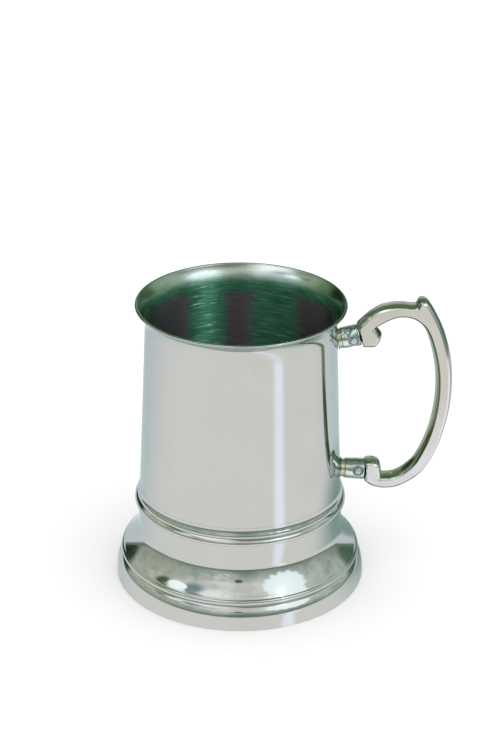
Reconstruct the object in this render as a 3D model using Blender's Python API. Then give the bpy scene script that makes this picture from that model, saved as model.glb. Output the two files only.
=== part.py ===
"""A polished metal tankard on a spun foot, with a cast C-shaped handle riveted into two sleeves.

Lengths are millimetres until a mesh is made, and the scene is in metres. The turned pieces share one
upright axis. The handle stands in the plane through that axis and +X. Outlines are pairs of a distance
from the axis and a height, and FLANGE_DROP lifts them all onto the surface that the tankard stands on.
The origin is the middle of the whole object's bounding box, on that surface.
"""

import math

import bmesh
import bpy
from mathutils import Matrix

MM = 0.001
GAP = 0.3  # left between two pieces that touch
SHARP_EDGE = math.radians(35.0)  # a fold over this angle is shaded as an edge

# Driving dimensions
RIM_HEIGHT = 120.0
BASE_RADIUS = 51.5
WAIST_RADIUS = 41.3  # of the cup's wall, where it meets the waist ring
WALL_TAPER = math.radians(2.43)  # the cup narrows upwards
WAIST_HEIGHT = 33.2  # the top of the foot, under the waist ring
RING_HEIGHT = 7.1
SHEET = 0.9  # thickness of the cup's and the foot's metal
HANDLE_REACH = 85.2  # from the tankard's axis
HANDLE_THICKNESS = 8.2
CROWN_STEPS = 6  # strips across the handle's thickness
FLOOR_HEIGHT = 30.0  # of the cup's inside

# The lip: the wall curls outwards along an arc and ends in a rounded edge
LIP_ARC_RADIUS = 11.2
LIP_TURN = math.radians(47.0)
LIP_EDGE_RADIUS = 0.6
LIP_EDGE_WRAP = 30.0  # degrees that the rounded edge reaches past each face of the sheet

# The cup's wall steps in below the waist, so that the ring and the foot slip over it
JOGGLE = 0.7
JOGGLE_TOP = WAIST_HEIGHT + RING_HEIGHT + GAP

# The cup's floor, a shallow pan
PAN_CORNER = 4.0
PAN_EDGE = 1.0  # straight part above the corner
WALL_UNDER_FLOOR = 2.0

# The waist ring
LOWER_RING_BEAD = 1.1
UPPER_RING_BEAD = 1.0

# The foot
NECK_RADIUS = 41.9
SHOULDER_TOP = 22.8
FOOT_BEAD_HEIGHT = 10.7
FOOT_BEAD_RADIUS = 1.5
BAND_TOP = 6.6
FLANGE_WIDTH = 4.0  # the foot's lower edge is turned in, and the tankard stands on it
FLANGE_DROP = 0.5  # the flange's underside is this far under height 0 of the outlines

# The sockets that hold the handle: a stud on the cup, a sleeve and a rivet
SPIGOT_RADIUS = 3.0
SLEEVE_BORE = SPIGOT_RADIUS + GAP
RIVET_SHANK_RADIUS = 1.0
RIVET_HEAD_RADIUS = 1.5
RIVET_HEAD_HEIGHT = 0.75
SPOT_FACE_RADIUS = 2.2
SPOT_FACE_OFFSET = 3.8  # from the sleeve's axis
SPIGOT_ENTRY = 1.2  # how far a stud's spigot reaches into its sleeve
STUD_FLARE = 0.5  # the neck is wider by this where it meets the cup
STUD_SHOULDER = 0.1  # the collar is under the sleeve's surface by this
COLLAR_LENGTH = 0.5

TURNED_SEGMENTS = 48
SOCKET_SEGMENTS = 24
RIVET_SEGMENTS = 16

SOCKETS = {
    "upper": {
        "seam": (47.3, 106.3),
        "tilt": math.radians(12.0),
        "face_tilt": math.radians(16.0),
        "half_height": 4.65,
        "length": 7.2,
        "radii": (4.3, 4.5),
        "neck_radius": 4.0,
        "rivet_at": 2.7,
        "rivet_turn": math.radians(7.0),
    },
    "lower": {
        "seam": (50.9, 45.9),
        "tilt": math.radians(-3.0),
        "face_tilt": 0.0,
        "half_height": 4.35,
        "length": 7.9,
        "radii": (4.15, 4.45),
        "neck_radius": 3.7,
        "rivet_at": 2.7,
        "rivet_turn": math.radians(-11.0),
    },
}


# Helpers for outlines

def arc(centre, radius, start, end, steps):
    """Points along an arc in degrees, both ends included."""
    points = []
    for i in range(steps + 1):
        angle = math.radians(start + (end - start) * i / steps)
        points.append((centre[0] + radius * math.cos(angle), centre[1] + radius * math.sin(angle)))
    return points


def smooth_run(anchors, steps):
    """A Catmull-Rom curve through the anchors, without its last point."""
    padded = [anchors[0]] + list(anchors) + [anchors[-1]]
    points = []
    for before, start, end, after in zip(padded, padded[1:], padded[2:], padded[3:]):
        for i in range(steps):
            t = i / steps
            weights = (
                (-t + 2 * t**2 - t**3) / 2,
                (2 - 5 * t**2 + 3 * t**3) / 2,
                (t + 4 * t**2 - 3 * t**3) / 2,
                (-(t**2) + t**3) / 2,
            )
            corners = zip(before, start, end, after)
            points.append(tuple(sum(w * c for w, c in zip(weights, corner)) for corner in corners))
    return points


def wall_radius(z):
    """The outer radius of the cup's tapered wall."""
    return WAIST_RADIUS - (z - JOGGLE_TOP) * math.tan(WALL_TAPER)


# Helpers for meshes

def material(name, colour, roughness):
    made = bpy.data.materials.new(name)
    made.use_nodes = True
    shader = made.node_tree.nodes["Principled BSDF"]
    shader.inputs["Base Color"].default_value = (*colour, 1.0)
    shader.inputs["Roughness"].default_value = roughness
    shader.inputs["Metallic"].default_value = 1.0
    return made


def add_object(name, mesh_data, surface, parent):
    mesh_data.name = name
    mesh_data.shade_smooth()
    mesh_data.set_sharp_from_angle(angle=SHARP_EDGE)
    mesh_data.materials.append(surface)
    obj = bpy.data.objects.new(name, mesh_data)
    bpy.context.scene.collection.objects.link(obj)
    obj.parent = parent
    return obj


def mesh_of(bm):
    bmesh.ops.recalc_face_normals(bm, faces=bm.faces)
    mesh_data = bpy.data.meshes.new("mesh")
    bm.to_mesh(mesh_data)
    bm.free()
    return mesh_data


def turned_mesh(profile, segments):
    """A solid of revolution about Z. The profile is a closed outline, or ends on the axis twice."""
    bm = bmesh.new()
    rings = []
    for r, z in profile:
        if r == 0.0:
            rings.append([bm.verts.new((0.0, 0.0, z * MM))] * segments)
            continue
        ring = []
        for i in range(segments):
            angle = 2 * math.pi * i / segments
            ring.append(bm.verts.new((r * math.cos(angle) * MM, r * math.sin(angle) * MM, z * MM)))
        rings.append(ring)
    on_axis = profile[0][0] == 0.0
    pairs = list(zip(rings, rings[1:]))
    if not on_axis:
        pairs.append((rings[-1], rings[0]))
    for ring, following in pairs:
        for i in range(segments):
            j = (i + 1) % segments
            corners = dict.fromkeys((ring[i], ring[j], following[j], following[i]))
            bm.faces.new(list(corners))
    return mesh_of(bm)


def add_cutter(name, mesh_data, parent):
    cutter = bpy.data.objects.new(name, mesh_data)
    bpy.context.scene.collection.objects.link(cutter)
    cutter.parent = parent
    cutter.hide_render = True
    cutter.display_type = "WIRE"
    return cutter


def add_boolean(obj, operation, other):
    modifier = obj.modifiers.new(other.name, "BOOLEAN")
    modifier.operation = operation
    modifier.solver = "EXACT"
    modifier.object = other


# The turned pieces

def cup_wall_profile():
    lip_centre_z = RIM_HEIGHT - LIP_EDGE_RADIUS - (LIP_ARC_RADIUS + SHEET / 2) * math.sin(LIP_TURN)
    lip_centre = (wall_radius(lip_centre_z) + LIP_ARC_RADIUS, lip_centre_z)
    turn = math.degrees(LIP_TURN)
    middle = LIP_ARC_RADIUS + SHEET / 2
    edge = (
        lip_centre[0] - middle * math.cos(LIP_TURN),
        lip_centre[1] + middle * math.sin(LIP_TURN),
    )
    joggled = WAIST_RADIUS - JOGGLE
    foot_of_wall = FLOOR_HEIGHT - WALL_UNDER_FLOOR
    outside = [(joggled, foot_of_wall), (joggled, JOGGLE_TOP - JOGGLE), (WAIST_RADIUS, JOGGLE_TOP)]
    outside += arc(lip_centre, LIP_ARC_RADIUS, 180.0, 180.0 - turn, 8)[:-1]
    around_edge = arc(edge, LIP_EDGE_RADIUS, -turn - LIP_EDGE_WRAP, 180.0 - turn + LIP_EDGE_WRAP, 8)
    inside = arc(lip_centre, LIP_ARC_RADIUS + SHEET, 180.0 - turn, 180.0, 8)[1:]
    inside += [(WAIST_RADIUS - SHEET, JOGGLE_TOP), (joggled - SHEET, JOGGLE_TOP - 2 * JOGGLE)]
    inside += [(joggled - SHEET, foot_of_wall)]
    return outside + around_edge + inside


def cup_floor_profile():
    """A shallow pan inside the wall, with its edge turned up round a corner radius."""
    outer = WAIST_RADIUS - JOGGLE - SHEET - GAP
    top = FLOOR_HEIGHT + PAN_CORNER + PAN_EDGE
    corner = (outer - PAN_CORNER, FLOOR_HEIGHT - SHEET + PAN_CORNER)
    profile = [(0.0, FLOOR_HEIGHT - SHEET)]
    profile += arc(corner, PAN_CORNER, -90.0, 0.0, 5)
    profile += [(outer, top), (outer - SHEET, top)]
    profile += arc(corner, PAN_CORNER - SHEET, 0.0, -90.0, 5)
    return profile + [(0.0, FLOOR_HEIGHT)]


def waist_ring_profile():
    """Two beads, the lower one larger, with a groove between them and a hollow above."""
    inner = WAIST_RADIUS - JOGGLE + GAP
    bottom = WAIST_HEIGHT
    profile = [(inner, bottom), (WAIST_RADIUS + 1.0, bottom)]
    profile += arc((WAIST_RADIUS + 0.7, bottom + 1.2), LOWER_RING_BEAD, -60.0, 75.0, 5)
    profile += arc((WAIST_RADIUS + 0.2, bottom + 4.3), UPPER_RING_BEAD, -50.0, 60.0, 4)
    profile += [(WAIST_RADIUS + 0.45, bottom + 5.9), (WAIST_RADIUS + 0.3, bottom + RING_HEIGHT - 0.3)]
    return profile + [(inner, bottom + RING_HEIGHT - JOGGLE - GAP)]


def foot_shell_profile():
    """A straight neck, a shoulder, a bead and a base band, as one sheet with its lower edge turned in."""
    top = WAIST_HEIGHT - GAP
    bottom = -FLANGE_DROP
    inside_band = BASE_RADIUS - 1.5
    bead_centre = (BASE_RADIUS - 2.1 - FOOT_BEAD_RADIUS, FOOT_BEAD_HEIGHT)
    outside = [(NECK_RADIUS, top)]
    outside += smooth_run(
        [
            (NECK_RADIUS, SHOULDER_TOP),
            (42.2, 21.6),
            (42.8, 20.2),
            (43.55, 18.8),
            (45.15, 16.3),
            (46.17, 14.9),
            (47.2, 13.6),
            (48.3, 12.4),
        ],
        2,
    )
    outside += arc(bead_centre, FOOT_BEAD_RADIUS, 65.0, -70.0, 6)
    outside += smooth_run(
        [(49.2, 8.6), (50.3, BAND_TOP + 0.4), (51.0, 4.8), (BASE_RADIUS - 0.1, 2.4), (BASE_RADIUS, 0.6)], 2
    )
    outside += [(BASE_RADIUS, 0.6), (BASE_RADIUS - 0.1, bottom + 0.3), (BASE_RADIUS - 0.4, bottom)]
    inside = [
        (BASE_RADIUS - FLANGE_WIDTH, bottom),
        (BASE_RADIUS - FLANGE_WIDTH, bottom + SHEET),
        (inside_band, bottom + SHEET),
        (inside_band, 3.4),
        (47.9, 9.5),
        (45.2, 15.0),
        (42.8, 18.4),
        (NECK_RADIUS - SHEET, SHOULDER_TOP - 0.8),
        (NECK_RADIUS - SHEET, top),
    ]
    return outside + inside


def base_plate_profile():
    """A disc that closes the foot, lying on the turned-in flange, with a shallow pressed ring."""
    radius = BASE_RADIUS - 1.5 - GAP
    under = SHEET + GAP - FLANGE_DROP
    return [
        (0.0, under),
        (radius - 12.0, under),
        (radius - 10.5, under + 0.6),
        (radius - 9.0, under),
        (radius, under),
        (radius, under + SHEET),
        (radius - 9.0, under + SHEET),
        (radius - 10.5, under + SHEET + 0.6),
        (radius - 12.0, under + SHEET),
        (0.0, under + SHEET),
    ]


# The handle

def seam_point(socket, share):
    """A point of the handle's end face in the handle's plane, from -1 at the bottom to 1 at the top."""
    x, z = socket["seam"]
    offset = share * socket["half_height"]
    return (x - offset * math.sin(socket["face_tilt"]), z + offset * math.cos(socket["face_tilt"]))


def handle_outline():
    """The outline at the handle's middle, as (x, z, crown), where crown is its rise over the sides."""
    upper, lower = SOCKETS["upper"], SOCKETS["lower"]
    thumb_root = (69.3, 119.6, 0.4)
    lower_notch = (58.0, 43.6, 0.4)
    scroll_notch = (53.3, 110.0, 0.4)
    arch = [(*seam_point(upper, 1.0), 0.4), (51.6, 116.2, 0.5), (56.4, 118.9, 0.5), (62.5, 119.9, 0.5)]
    arch += [(67.0, 119.5, 0.4), thumb_root]
    grip_outside = [thumb_root, (70.3, 121.5, 0.5), (71.8, 122.3, 0.7), (74.3, 120.9, 0.8)]
    grip_outside += [(77.8, 115.2, 1.0), (81.4, 107.2, 1.3), (84.1, 97.0, 1.6), (HANDLE_REACH, 85.5, 1.6)]
    grip_outside += [(84.4, 72.0, 1.6), (80.7, 57.0, 1.4), (74.6, 45.7, 1.1), (66.1, 39.6, 0.8)]
    grip_outside += [(59.7, 38.3, 0.6), (54.4, 39.3, 0.5), (*seam_point(lower, -1.0), 0.4)]
    lower_block = [(*seam_point(lower, 1.0), 0.4), (54.4, 50.6, 0.6), (57.3, 49.0, 0.7), lower_notch]
    grip_inside = [lower_notch, (62.8, 44.1, 0.5), (67.1, 47.0, 0.8), (71.7, 53.0, 1.1)]
    grip_inside += [(76.4, 65.9, 1.5), (78.4, 81.0, 1.6), (77.4, 95.0, 1.6), (73.6, 108.2, 1.3)]
    grip_inside += [(68.7, 113.6, 0.9), (62.7, 114.7, 0.5), (57.5, 112.7, 0.4), scroll_notch]
    scroll = [scroll_notch, (56.1, 106.7, 1.7), (54.2, 101.9, 1.2), (*seam_point(upper, -1.0), 0.4)]
    outline = smooth_run(arch, 2) + smooth_run(grip_outside, 4) + [grip_outside[-1]]
    outline += smooth_run(lower_block, 3) + smooth_run(grip_inside, 4)
    return outline + smooth_run(scroll, 3) + [scroll[-1]]


def handle_mesh():
    """The outline swept across the handle's thickness, pulled in towards the flat sides by its crown."""
    outline = handle_outline()
    count = len(outline)
    normals = []
    for i in range(count):
        x0, z0, _ = outline[i - 1]
        x1, z1, _ = outline[(i + 1) % count]
        length = math.hypot(x1 - x0, z1 - z0)
        normals.append(((z0 - z1) / length, (x1 - x0) / length))
    bm = bmesh.new()
    rings = []
    for k in range(CROWN_STEPS + 1):
        share = 2 * k / CROWN_STEPS - 1
        ring = []
        for (x, z, crown), (nx, nz) in zip(outline, normals):
            inset = crown * share**2
            y = share * HANDLE_THICKNESS / 2
            ring.append(bm.verts.new(((x - nx * inset) * MM, y * MM, (z - nz * inset) * MM)))
        rings.append(ring)
    for ring, following in zip(rings, rings[1:]):
        for i in range(count):
            j = (i + 1) % count
            bm.faces.new((ring[i], ring[j], following[j], following[i]))
    bm.faces.new(rings[0])
    bm.faces.new(rings[-1])
    return mesh_of(bm)


# The sockets. Each has an empty at the handle's seam, with +Z along its axis, away from the cup

def socket_reach(socket):
    """The distance from the seam back to the cup's wall, along the socket's axis."""
    x, z = socket["seam"]
    reach = 0.0
    for _ in range(4):
        wall_z = z - reach * math.sin(socket["tilt"])
        reach = (x - wall_radius(wall_z)) / math.cos(socket["tilt"])
    return reach


def stud_profile(socket):
    """A weld-flared neck on the cup, a collar, and a spigot inside the sleeve."""
    reach, neck = socket_reach(socket), socket["neck_radius"]
    foot = neck + STUD_FLARE
    collar = socket["radii"][0] - STUD_SHOULDER
    sleeve_start = -socket["length"]
    collar_start = sleeve_start - COLLAR_LENGTH
    spigot_end = sleeve_start + SPIGOT_ENTRY
    inside_wall = -reach - 3.0
    profile = [(0.0, inside_wall), (foot, inside_wall), (foot, -reach + 0.2), (neck, -reach + 0.7)]
    profile += [(neck, collar_start - 0.4), (collar, collar_start), (collar, sleeve_start - GAP)]
    profile += [(SPIGOT_RADIUS, sleeve_start - GAP), (SPIGOT_RADIUS, spigot_end), (0.0, spigot_end)]
    return profile


def sleeve_profile(socket):
    start, end = -socket["length"], -GAP
    small, large = socket["radii"]
    return [
        (SLEEVE_BORE, start),
        (small - 0.2, start),
        (small, start + 0.2),
        (large, end - 0.2),
        (large - 0.2, end),
        (SLEEVE_BORE, end),
    ]


def tang_profile(socket):
    """The pin cast on the handle's end, which starts inside the end block."""
    end = -socket["length"] + SPIGOT_ENTRY + GAP
    root = 1.0
    profile = [(0.0, end), (SPIGOT_RADIUS - 0.3, end), (SPIGOT_RADIUS, end + 0.3)]
    return profile + [(SPIGOT_RADIUS, root), (0.0, root)]


def rivet_profile():
    """A shank with a domed head at each end, and a small dimple in each dome."""
    under = SPOT_FACE_OFFSET + GAP
    head = [
        (RIVET_SHANK_RADIUS, under),
        (RIVET_HEAD_RADIUS, under),
        (RIVET_HEAD_RADIUS - 0.1, under + 0.3 * RIVET_HEAD_HEIGHT),
        (RIVET_HEAD_RADIUS - 0.45, under + 0.8 * RIVET_HEAD_HEIGHT),
        (0.5, under + RIVET_HEAD_HEIGHT),
        (0.25, under + 0.85 * RIVET_HEAD_HEIGHT),
        (0.0, under + 0.8 * RIVET_HEAD_HEIGHT),
    ]
    return [(r, -y) for r, y in reversed(head)] + head


def rivet_cut_profile():
    """The rivet's hole, with a round spot face sunk into the sleeve for each head."""
    clear, hole = 8.0, RIVET_SHANK_RADIUS + GAP
    half = [(hole, SPOT_FACE_OFFSET), (SPOT_FACE_RADIUS, SPOT_FACE_OFFSET), (SPOT_FACE_RADIUS, clear)]
    half += [(0.0, clear)]
    return [(r, -y) for r, y in reversed(half)] + half


def add_socket(name, socket, root, surfaces, handle, cup_space):
    x, z = socket["seam"]
    axis = bpy.data.objects.new(name + "_socket_axis", None)
    bpy.context.scene.collection.objects.link(axis)
    axis.parent = root
    axis.location = (x * MM, 0.0, z * MM)
    axis.rotation_euler = (0.0, math.pi / 2 - socket["tilt"], 0.0)
    rivet_place = Matrix.Translation((0.0, 0.0, -socket["rivet_at"] * MM))
    rivet_place @= Matrix.Rotation(socket["rivet_turn"], 4, "Z")
    rivet_place @= Matrix.Rotation(math.pi / 2, 4, "X")

    stud_mesh = turned_mesh(stud_profile(socket), SOCKET_SEGMENTS)
    sleeve_mesh = turned_mesh(sleeve_profile(socket), SOCKET_SEGMENTS)
    stud = add_object(name + "_stud", stud_mesh, surfaces["stud"], axis)
    add_boolean(stud, "DIFFERENCE", cup_space)
    sleeve = add_object(name + "_sleeve", sleeve_mesh, surfaces["sleeve"], axis)
    rivet_mesh = turned_mesh(rivet_profile(), RIVET_SEGMENTS)
    rivet = add_object(name + "_rivet", rivet_mesh, surfaces["rivet"], axis)
    rivet.matrix_local = rivet_place

    tang = add_cutter(name + "_tang", turned_mesh(tang_profile(socket), SOCKET_SEGMENTS), axis)
    hole = add_cutter(name + "_rivet_cut", turned_mesh(rivet_cut_profile(), RIVET_SEGMENTS), axis)
    hole.matrix_local = rivet_place
    add_boolean(handle, "UNION", tang)
    add_boolean(handle, "DIFFERENCE", hole)
    add_boolean(sleeve, "DIFFERENCE", hole)


def cup_space_profile():
    """The cup's tapered wall and a gap round it, which a stud's foot is cut to."""
    low, high = JOGGLE_TOP - 5.0, RIM_HEIGHT
    return [
        (0.0, low),
        (wall_radius(low) + GAP, low),
        (wall_radius(high) + GAP, high),
        (0.0, high),
    ]


def make_surfaces():
    return {
        "cup": material("polished_steel", (0.63, 0.64, 0.62), 0.09),
        "floor": material("brushed_steel", (0.55, 0.56, 0.54), 0.30),
        "ring": material("polished_steel_ring", (0.63, 0.64, 0.62), 0.08),
        "foot": material("polished_steel_foot", (0.63, 0.64, 0.62), 0.08),
        "plate": material("satin_steel", (0.56, 0.57, 0.56), 0.35),
        "handle": material("cast_metal", (0.66, 0.65, 0.62), 0.14),
        "stud": material("heat_tinted_steel", (0.66, 0.58, 0.42), 0.20),
        "sleeve": material("bright_steel", (0.60, 0.64, 0.65), 0.14),
        "rivet": material("rivet_steel", (0.62, 0.67, 0.69), 0.16),
    }


def main():
    for obj in list(bpy.data.objects):
        bpy.data.objects.remove(obj)

    surfaces = make_surfaces()
    root = bpy.data.objects.new("tankard_axis", None)
    bpy.context.scene.collection.objects.link(root)
    root.location = ((BASE_RADIUS - HANDLE_REACH) / 2 * MM, 0.0, FLANGE_DROP * MM)

    turned = {
        "cup_wall": (cup_wall_profile(), "cup"),
        "cup_floor": (cup_floor_profile(), "floor"),
        "waist_ring": (waist_ring_profile(), "ring"),
        "foot_shell": (foot_shell_profile(), "foot"),
        "base_plate": (base_plate_profile(), "plate"),
    }
    for name, (profile, surface) in turned.items():
        add_object(name, turned_mesh(profile, TURNED_SEGMENTS), surfaces[surface], root)

    handle = add_object("handle", handle_mesh(), surfaces["handle"], root)
    cup_space = add_cutter("cup_space", turned_mesh(cup_space_profile(), TURNED_SEGMENTS), root)
    for name, socket in SOCKETS.items():
        add_socket(name, socket, root, surfaces, handle, cup_space)


main()
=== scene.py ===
"""The looks of the metal tankard: fine turned and swept meshes, worn polished metal with painted
reflections, highlights and shade, and a small studio.

Lengths in the shape functions are millimetres, as pairs of a distance from the cup's axis and a height
above the table. The frame's boxes give the axis, the rim, the base, the handle's thickness and the turned
pieces' ends.
"""

import math

import bmesh
import bpy
from mathutils import Matrix, Vector


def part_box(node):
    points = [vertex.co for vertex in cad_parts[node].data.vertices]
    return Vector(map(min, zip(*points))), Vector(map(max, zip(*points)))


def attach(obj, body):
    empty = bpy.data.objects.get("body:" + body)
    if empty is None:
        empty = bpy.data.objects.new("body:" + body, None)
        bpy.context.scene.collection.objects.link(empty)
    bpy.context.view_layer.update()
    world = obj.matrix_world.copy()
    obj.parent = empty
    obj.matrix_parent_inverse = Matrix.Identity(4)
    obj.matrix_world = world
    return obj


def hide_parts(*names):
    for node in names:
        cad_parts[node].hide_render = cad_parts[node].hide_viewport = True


MM = 0.001

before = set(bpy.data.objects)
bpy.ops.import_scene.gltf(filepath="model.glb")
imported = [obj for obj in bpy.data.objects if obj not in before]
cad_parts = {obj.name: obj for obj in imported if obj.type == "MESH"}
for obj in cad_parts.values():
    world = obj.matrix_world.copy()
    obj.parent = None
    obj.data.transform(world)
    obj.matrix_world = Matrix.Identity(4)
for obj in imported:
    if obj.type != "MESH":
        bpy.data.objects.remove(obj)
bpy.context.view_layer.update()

# What the frame says
foot_low, foot_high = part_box("foot_shell")
wall_low, wall_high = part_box("cup_wall")
ring_low, ring_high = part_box("waist_ring")
floor_low, floor_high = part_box("cup_floor")
plate_low, plate_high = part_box("base_plate")
handle_low, handle_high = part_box("handle")
AXIS = Vector(((foot_low.x + foot_high.x) / 2, 0.0, 0.0))
BASE_RADIUS = (foot_high.x - foot_low.x) / 2 / MM
RIM_HEIGHT = wall_high.z / MM
WAIST_HEIGHT = ring_low.z / MM
RING_TOP = ring_high.z / MM
HANDLE_THICKNESS = (handle_high.y - handle_low.y) / MM

# Sizes that the pieces share
SHEET = 0.9
GAP = 0.3
WAIST_RADIUS = 41.3
WALL_TAPER = math.radians(2.43)
JOGGLE = 0.7
JOGGLE_RISE = 7.4
JOGGLE_TOP = WAIST_HEIGHT + JOGGLE_RISE
LIFT = 0.5  # the heights of the handle's outline are given this much lower than they stand

LIP_ARC_RADIUS = 11.2
LIP_TURN = math.radians(47.0)
LIP_EDGE_RADIUS = 0.6
LIP_MIDDLE = LIP_ARC_RADIUS + SHEET / 2
LIP_Z = RIM_HEIGHT - LIP_EDGE_RADIUS - LIP_MIDDLE * math.sin(LIP_TURN)  # where the wall starts to flare

NECK_RADIUS = 41.9
FOOT_BEAD_RADIUS = 1.5

HANDLE_EDGE_RADIUS = 1.0
HANDLE_INSET = 0.03  # keeps the finer curves inside the CAD's box
BEVEL_FLATNESS = 1.55  # 1 rounds the edge, 2 cuts it straight
TURNED_SEGMENTS = 256

SOCKETS = {
    "upper": {
        "seam": (47.3, 106.3),
        "tilt": math.radians(12.0),
        "face_tilt": math.radians(16.0),
        "half_height": 4.65,
        "length": 7.2,
        "radii": (4.3, 4.5),
        "neck_radius": 4.0,
        "rivet_at": 2.7,
        "rivet_turn": math.radians(7.0),
        "flare": 0.3,
        "dents": 1.0,
    },
    "lower": {
        "seam": (50.9, 45.9),
        "tilt": math.radians(-3.0),
        "face_tilt": 0.0,
        "half_height": 4.35,
        "length": 7.9,
        "radii": (4.15, 4.45),
        "neck_radius": 3.7,
        "rivet_at": 2.7,
        "rivet_turn": math.radians(-11.0),
        "flare": 0.55,
        "dents": 0.25,
    },
}
RIVET_HEAD_RADIUS = 1.5
RIVET_HEAD_HEIGHT = 0.75
SPOT_FACE_RADIUS = 2.2
SPOT_FACE_OFFSET = 3.8
SLEEVE_END = -0.12
SLEEVE_BORE = 3.3
SPIGOT_RADIUS = 3.0
SPIGOT_REACH = 1.2  # into the sleeve
TANG_RADIUS = 3.0
WALL_BITE = 0.25  # how far the foot of each stud reaches into the cup's wall
DIMPLE_RADIUS = 0.42


# Outlines

def arc(centre, radius, start, end, steps):
    """Points along an arc in degrees, both ends included."""
    points = []
    for i in range(steps + 1):
        angle = math.radians(start + (end - start) * i / steps)
        points.append((centre[0] + radius * math.cos(angle), centre[1] + radius * math.sin(angle)))
    return points


def smooth_run(anchors, steps):
    """A Catmull-Rom curve through the anchors, without its last point."""
    padded = [anchors[0]] + list(anchors) + [anchors[-1]]
    points = []
    for before, start, end, after in zip(padded, padded[1:], padded[2:], padded[3:]):
        for i in range(steps):
            t = i / steps
            weights = (
                (-t + 2 * t**2 - t**3) / 2,
                (2 - 5 * t**2 + 3 * t**3) / 2,
                (t + 4 * t**2 - 3 * t**3) / 2,
                (-(t**2) + t**3) / 2,
            )
            corners = zip(before, start, end, after)
            points.append(tuple(sum(w * c for w, c in zip(weights, corner)) for corner in corners))
    return points


def leaning_run(start, leans, steps):
    """A run down from the start that leans out by these angles, each given as (height, degrees)."""
    radius, height = start
    points = [start]
    for (top, lean_top), (bottom, lean_bottom) in zip(leans, leans[1:]):
        for i in range(steps):
            lean = lean_top + (lean_bottom - lean_top) * (i + 0.5) / steps
            drop = (top - bottom) / steps
            radius += drop * math.tan(math.radians(lean))
            height -= drop
            points.append((radius, height))
    return points


def wall_radius(z):
    return WAIST_RADIUS - (z - JOGGLE_TOP) * math.tan(WALL_TAPER)


def subdivided(profile, longest):
    """The profile with points added so that no step is longer than this."""
    points = []
    for (r0, z0), (r1, z1) in zip(profile, profile[1:]):
        pieces = max(1, math.ceil(math.hypot(r1 - r0, z1 - z0) / longest))
        points += [(r0 + (r1 - r0) * i / pieces, z0 + (z1 - z0) * i / pieces) for i in range(pieces)]
    return points + [profile[-1]]


# Meshes

def mesh_from(bm, name):
    mesh = bpy.data.meshes.new(name)
    bm.to_mesh(mesh)
    bm.free()
    return mesh


def linked_object(name, data):
    obj = bpy.data.objects.new(name, data)
    bpy.context.scene.collection.objects.link(obj)
    return obj


def finish_piece(name, bm, place, surface, replaced, sharp=40.0):
    """Makes the piece, rides it on the root body and hides the CAD nodes that it stands for."""
    bmesh.ops.recalc_face_normals(bm, faces=bm.faces)
    mesh = mesh_from(bm, name)
    mesh.shade_smooth()
    mesh.set_sharp_from_angle(angle=math.radians(sharp))
    for polygon in mesh.polygons:
        if polygon.loop_total > 4:
            for loop in polygon.loop_indices:
                mesh.edges[mesh.loops[loop].edge_index].use_edge_sharp = True
    mesh.materials.append(surface)
    obj = linked_object(name, mesh)
    obj.matrix_world = place
    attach(obj, "root")
    if replaced:
        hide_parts(*replaced)


def level_ring(bm, radius, z, segments):
    """Corners on a level circle round the Z axis."""
    ring = []
    for i in range(segments):
        angle = 2 * math.pi * i / segments
        ring.append(bm.verts.new((radius * math.cos(angle) * MM, radius * math.sin(angle) * MM, z * MM)))
    return ring


def join_rings(bm, rings):
    """Faces from each ring to the next. A ring that is one corner repeated gets triangles."""
    for ring, following in zip(rings, rings[1:]):
        for i in range(len(ring)):
            j = (i + 1) % len(ring)
            bm.faces.new(list(dict.fromkeys((ring[i], ring[j], following[j], following[i]))))


def turned(profile, segments=TURNED_SEGMENTS):
    """A solid of revolution about Z. The profile is a closed outline, or ends on the axis twice."""
    bm = bmesh.new()
    rings = []
    for r, z in profile:
        if r == 0.0:
            rings.append([bm.verts.new((0.0, 0.0, z * MM))] * segments)
        else:
            rings.append(level_ring(bm, r, z, segments))
    if profile[0][0] != 0.0:
        rings.append(rings[0])
    join_rings(bm, rings)
    return bm


# Profiles of the turned pieces

def cup_wall_profile():
    lip_centre = (wall_radius(LIP_Z) + LIP_ARC_RADIUS, LIP_Z)
    turn = math.degrees(LIP_TURN)
    across, up = LIP_MIDDLE * math.cos(LIP_TURN), LIP_MIDDLE * math.sin(LIP_TURN)
    edge = (lip_centre[0] - across, lip_centre[1] + up)
    joggled = WAIST_RADIUS - JOGGLE
    bottom = wall_low.z / MM
    profile = [(joggled, bottom), (joggled, JOGGLE_TOP - JOGGLE), (WAIST_RADIUS, JOGGLE_TOP)]
    profile += arc(lip_centre, LIP_ARC_RADIUS, 180.0, 180.0 - turn, 32)[:-1]
    profile += arc(edge, LIP_EDGE_RADIUS, -turn - 30.0, 180.0 - turn + 30.0, 20)
    profile += arc(lip_centre, LIP_ARC_RADIUS + SHEET, 180.0 - turn, 180.0, 32)[1:]
    profile += [(WAIST_RADIUS - SHEET, JOGGLE_TOP), (joggled - SHEET, JOGGLE_TOP - 2 * JOGGLE)]
    return profile + [(joggled - SHEET, bottom)]


def cup_floor_profile():
    corner_radius = 4.0
    outer = (floor_high.x - floor_low.x) / 2 / MM
    under, top = floor_low.z / MM, floor_high.z / MM
    corner = (outer - corner_radius, under + corner_radius)
    profile = [(0.0, under)] + arc(corner, corner_radius, -90.0, 0.0, 14)
    profile += [(outer, top - 0.3), (outer - 0.2, top), (outer - SHEET, top)]
    return profile + arc(corner, corner_radius - SHEET, 0.0, -90.0, 14) + [(0.0, under + SHEET)]


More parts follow.
